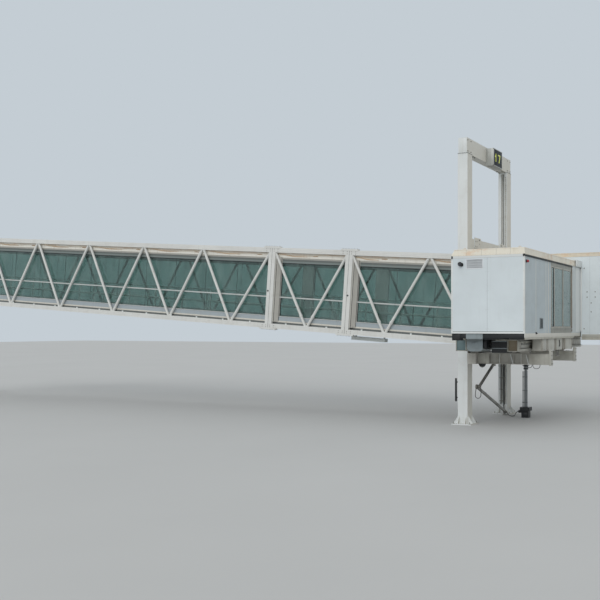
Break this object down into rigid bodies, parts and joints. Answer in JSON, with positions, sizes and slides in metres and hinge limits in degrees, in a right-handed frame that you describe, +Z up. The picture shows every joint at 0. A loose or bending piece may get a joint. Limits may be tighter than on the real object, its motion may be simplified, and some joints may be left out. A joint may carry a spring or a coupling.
{
  "type": "jet bridge",
  "caption": "Glazed truss boarding walkway that slopes down through a two-column lift portal to a side gallery with a sliding docking cab.",
  "frame": {"origin": "on the ground, under the middle of the near portal column", "axes": "+X along the walkway towards the aircraft, +Y from the near column to the far column, +Z up"},
  "size_m": [32.66, 10.61, 9.9],
  "materials": {
    "cream_steel": "satin paint with rust runs",
    "pale_panel": "flat painted sheet, lightly dirty",
    "grey_steel": "weathered paint",
    "black_box": "satin black paint",
    "bare_metal": "galvanised",
    "tinted_glass": "teal tint",
    "rail_paint": "satin paint",
    "seal_rubber": "matte",
    "canopy_fabric": "coated weave"
  },
  "bodies": {
    "portal": {"near_column": "cream_steel", "far_column": "cream_steel", "top_beam": "cream_steel", "gate_sign": "black_box", "trestle_posts": "cream_steel", "trestle_beam": "cream_steel", "mast_base": "black_box", "mast_tube": "bare_metal", "arm_foot": "grey_steel"},
    "lift_frame": {"hangers": "cream_steel", "crosshead": "cream_steel", "lift_beam": "grey_steel", "walkway_rollers": "bare_metal", "outrigger_beams": "grey_steel", "carrier_rails": "grey_steel", "rail_rack": "grey_steel", "equipment_housing": "grey_steel", "drive_box": "black_box", "floor_boxes": "grey_steel", "under_lamp": "black_box", "mast_rod": "bare_metal", "gallery_floor": "cream_steel", "gallery_near_wall": "pale_panel", "gallery_rear_wall": "pale_panel", "gallery_front_wall": "cream_steel", "gallery_roof": "cream_steel", "gallery_glass": "tinted_glass", "gallery_louvre": "pale_panel", "roof_gutter": "black_box", "entry_seal": "seal_rubber"},
    "cab": {"cab_floor": "cream_steel", "cab_near_wall": "pale_panel", "cab_far_wall": "pale_panel", "cab_rear_wall": "pale_panel", "cab_glass": "tinted_glass", "cab_roof": "cream_steel", "cab_front_frame": "seal_rubber", "cab_canopy": "canopy_fabric"},
    "walkway": {"near_truss": "cream_steel", "far_truss": "cream_steel", "tunnel_floor": "grey_steel", "tunnel_roof": "cream_steel", "near_side_wall": "pale_panel", "far_side_wall": "pale_panel", "tunnel_glass": "tinted_glass", "handrails": "rail_paint", "cable_tray": "grey_steel", "tunnel_hinge": "grey_steel"},
    "arm_lower": {"cable_arm_lower": "grey_steel"},
    "arm_upper": {"cable_arm_upper": "grey_steel"}
  },
  "joints": [
    {"name": "frame_lift", "type": "slide", "parent": "portal", "child": "lift_frame", "axis": [0, 0, 1], "range_m": [0, 1.4]},
    {"name": "walkway_tilt", "type": "hinge", "parent": "portal", "child": "walkway", "pos_m": [-27.2, 2.35, 4.4649], "axis": [0, -1, 0], "range_deg": [0, 3]},
    {"name": "cab_traverse", "type": "slide", "parent": "lift_frame", "child": "cab", "axis": [0, -1, 0], "range_m": [0, 1]},
    {"name": "arm_foot_hinge", "type": "hinge", "parent": "portal", "child": "arm_lower", "pos_m": [0.245, 3.95, 0.142], "axis": [-1, 0, 0], "range_deg": [0, 14.6]},
    {"name": "arm_top_hinge", "type": "hinge", "parent": "lift_frame", "child": "arm_upper", "pos_m": [0.325, 2.21, 2], "axis": [1, 0, 0], "range_deg": [0, 21.8]}
  ],
  "couplings": [
    {"joint": "walkway_tilt", "follows": "frame_lift", "rad_per_m": 0.036765},
    {"joint": "arm_foot_hinge", "follows": "frame_lift", "rad_per_m": 0.1811},
    {"joint": "arm_top_hinge", "follows": "frame_lift", "rad_per_m": 0.27077}
  ]
}
